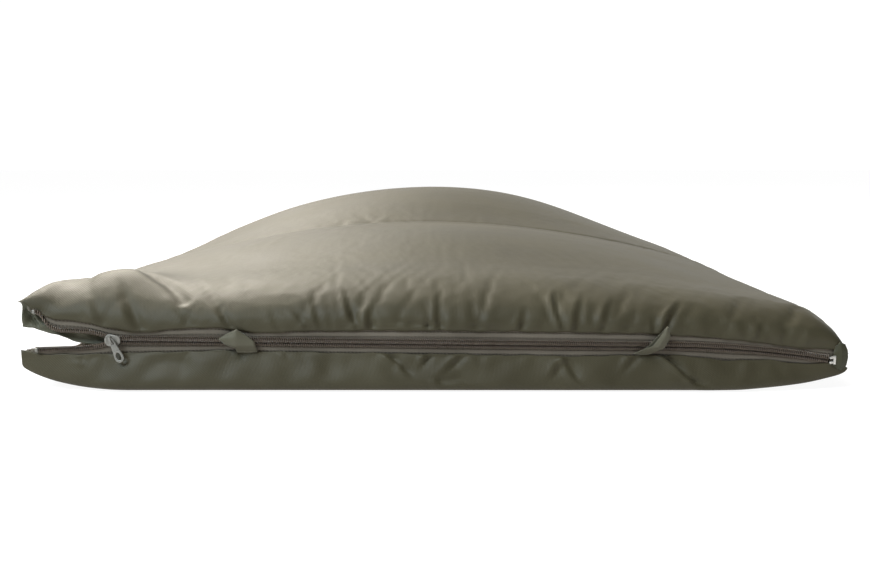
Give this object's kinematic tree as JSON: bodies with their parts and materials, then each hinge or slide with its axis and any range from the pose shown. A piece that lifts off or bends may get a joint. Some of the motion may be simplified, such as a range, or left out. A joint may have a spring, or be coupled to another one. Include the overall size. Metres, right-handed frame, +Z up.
{
  "type": "bivy sack",
  "caption": "Padded rectangular bivy sack with an open head end, a zip across its foot, a two-way zip along its left side and a folded seam on its right.",
  "frame": {"origin": "on the ground under the middle of the sack, on the lower shell's flat underside", "axes": "+X across the sack from the side zip to the folded seam, +Y from the zipped foot to the open head, +Z up"},
  "size_m": [0.8192, 2.0126, 0.1729],
  "materials": {
    "shell": "satin",
    "lining": "matte",
    "batting": "matte",
    "zip_tape": "matte",
    "zip_coil": "satin",
    "zip_stop": "satin",
    "slider_metal": "satin",
    "ribbon": "matte",
    "binding": "matte"
  },
  "bodies": {
    "lower": {"bottom_shell": "shell", "bottom_batting": "batting", "bottom_lining": "lining", "foot_zip_lower_tape": "zip_tape", "foot_zip_lower_coil": "zip_coil", "foot_zip_lower_stop": "zip_stop", "foot_zip_bottom_stop": "zip_stop", "side_zip_lower_tape": "zip_tape", "side_zip_lower_coil": "zip_coil", "side_zip_lower_foot_stop": "zip_stop", "side_zip_lower_head_stop": "zip_stop", "head_lower_binding": "binding", "side_seam_binding": "binding", "ribbon_loop_left": "ribbon", "ribbon_loop_right": "ribbon"},
    "upper": {"top_shell": "shell", "top_batting": "batting", "top_lining": "lining", "foot_zip_upper_tape": "zip_tape", "foot_zip_upper_coil": "zip_coil", "foot_zip_upper_stop": "zip_stop", "side_zip_upper_tape": "zip_tape", "side_zip_upper_coil": "zip_coil", "side_zip_upper_foot_stop": "zip_stop", "side_zip_upper_head_stop": "zip_stop", "head_upper_binding": "binding", "foot_draft_tube": "lining", "side_draft_tube": "lining"},
    "foot_slider": {"foot_slider_body": "slider_metal", "foot_slider_bail": "slider_metal"},
    "foot_pull": {"foot_slider_pull": "slider_metal"},
    "side_foot_slider": {"side_foot_slider_body": "slider_metal", "side_foot_slider_bail": "slider_metal"},
    "side_foot_pull": {"side_foot_slider_pull": "slider_metal"},
    "side_head_slider": {"side_head_slider_body": "slider_metal", "side_head_slider_bail": "slider_metal"},
    "side_head_pull": {"side_head_slider_pull": "slider_metal"}
  },
  "joints": [
    {"name": "upper_fold", "type": "hinge", "parent": "lower", "child": "upper", "pos_m": [0.406, 0, 0.02691], "axis": [0, 1, 0], "range_deg": [0, 165]},
    {"name": "foot_slider_slide", "type": "slide", "parent": "lower", "child": "foot_slider", "axis": [0.9999, 0, -0.0115], "range_m": [0, 0.47], "deforming": ["ribbon_loop_left", "ribbon_loop_right"]},
    {"name": "foot_pull_swing", "type": "hinge", "parent": "foot_slider", "child": "foot_pull", "pos_m": [-0.3115, -1.0075, 0.04978], "axis": [-0.9397, 0, -0.342], "range_deg": [0, 170]},
    {"name": "side_foot_slider_slide", "type": "slide", "parent": "lower", "child": "side_foot_slider", "axis": [0, 1, 0], "range_m": [0, 0.85]},
    {"name": "side_foot_pull_swing", "type": "hinge", "parent": "side_foot_slider", "child": "side_foot_pull", "pos_m": [-0.4075, -0.76, 0.0508], "axis": [0, 1, 0], "range_deg": [0, 170]},
    {"name": "side_head_slider_slide", "type": "slide", "parent": "lower", "child": "side_head_slider", "axis": [0, -1, 0], "range_m": [0, 0.85]},
    {"name": "side_head_pull_swing", "type": "hinge", "parent": "side_head_slider", "child": "side_head_pull", "pos_m": [-0.4075, 0.97, 0.0508], "axis": [0, 1, 0], "range_deg": [0, 170]}
  ]
}
